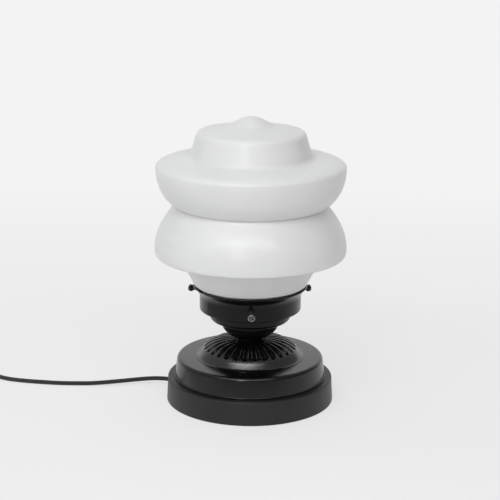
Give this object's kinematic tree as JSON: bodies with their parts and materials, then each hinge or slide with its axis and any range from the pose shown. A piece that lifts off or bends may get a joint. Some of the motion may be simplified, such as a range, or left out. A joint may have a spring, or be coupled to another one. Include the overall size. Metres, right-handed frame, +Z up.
{
  "type": "table lamp",
  "caption": "Table lamp with a stepped opal glass shade held by thumbscrews in a flared gallery, on a fluted dome, canopy and round plinth, with a corded switch and plug.",
  "frame": {"origin": "middle of the felt pad's underside, on the lamp's axis", "axes": "+Z up along the lamp's axis, -Y towards the viewer of the picture, +X to the viewer's right"},
  "size_m": [0.4102, 0.1851, 0.2368],
  "materials": {
    "black_metal": "satin black lacquer",
    "black_wood": "matt black lacquer",
    "felt": "felt",
    "steel": "zinc plated",
    "iron": "as cast",
    "brass": "plain",
    "opal_glass": "satin opal white",
    "holder_plastic": "moulded",
    "ceramic": "glazed",
    "bulb_glass": "frosted",
    "bulb_metal": "rolled",
    "cord_cloth": "braided",
    "clamp_plastic": "moulded",
    "black_rubber": "moulded",
    "switch_plastic": "moulded",
    "tie_plastic": "moulded",
    "pin_metal": "nickel plated"
  },
  "bodies": {
    "base": {"canopy": "black_metal", "fluted_dome": "black_metal", "gallery_cup": "black_metal", "gallery": "black_metal", "screw_bushes": "black_metal", "plinth": "black_wood", "felt_pad": "felt", "bottom_cover": "steel", "cover_screws": "steel", "rod_nut": "steel", "rod_washer": "steel", "terminal_screws": "steel", "switch_pin": "steel", "switch_screws": "steel", "ballast_weight": "iron", "threaded_rod": "brass", "holder_thread": "brass", "holder_contact": "brass", "switch_contacts": "brass", "holder_cap": "holder_plastic", "holder_body": "holder_plastic", "holder_insert": "ceramic", "inner_lead": "cord_cloth", "cord_lead": "cord_cloth", "cord_link": "cord_cloth", "cord_coil": "cord_cloth", "cord_tail": "cord_cloth", "cord_anchor": "clamp_plastic", "cord_bush": "black_rubber", "switch_base": "switch_plastic", "switch_cover": "switch_plastic", "plug_body": "switch_plastic", "cord_tie": "tie_plastic", "plug_pins": "pin_metal"},
    "shade": {"glass_shade": "opal_glass"},
    "front_thumbscrew": {"thumbscrew_front": "black_metal"},
    "right_thumbscrew": {"thumbscrew_right": "black_metal"},
    "left_thumbscrew": {"thumbscrew_left": "black_metal"},
    "bulb": {"bulb_globe": "bulb_glass", "bulb_cap": "bulb_metal", "bulb_contact": "steel"},
    "rocker": {"switch_rocker": "switch_plastic"}
  },
  "joints": [
    {"name": "shade_lift", "type": "slide", "parent": "base", "child": "shade", "axis": [0, 0, 1], "range_m": [0, 0.12]},
    {"name": "front_thumbscrew_out", "type": "slide", "parent": "base", "child": "front_thumbscrew", "axis": [0.0175, -0.9998, 0], "range_m": [0, 0.004]},
    {"name": "right_thumbscrew_out", "type": "slide", "parent": "base", "child": "right_thumbscrew", "axis": [0.8572, 0.515, 0], "range_m": [0, 0.004]},
    {"name": "left_thumbscrew_out", "type": "slide", "parent": "base", "child": "left_thumbscrew", "axis": [-0.8746, 0.4848, 0], "range_m": [0, 0.004]},
    {"name": "bulb_turn", "type": "hinge", "parent": "base", "child": "bulb", "pos_m": [0, 0, 0.11], "axis": [0, 0, 1], "range_deg": [0, 720]},
    {"name": "rocker_tilt", "type": "hinge", "parent": "base", "child": "rocker", "pos_m": [-0.266, 0.052, 0.0129], "axis": [0, 1, 0], "range_deg": [0, 18]}
  ]
}
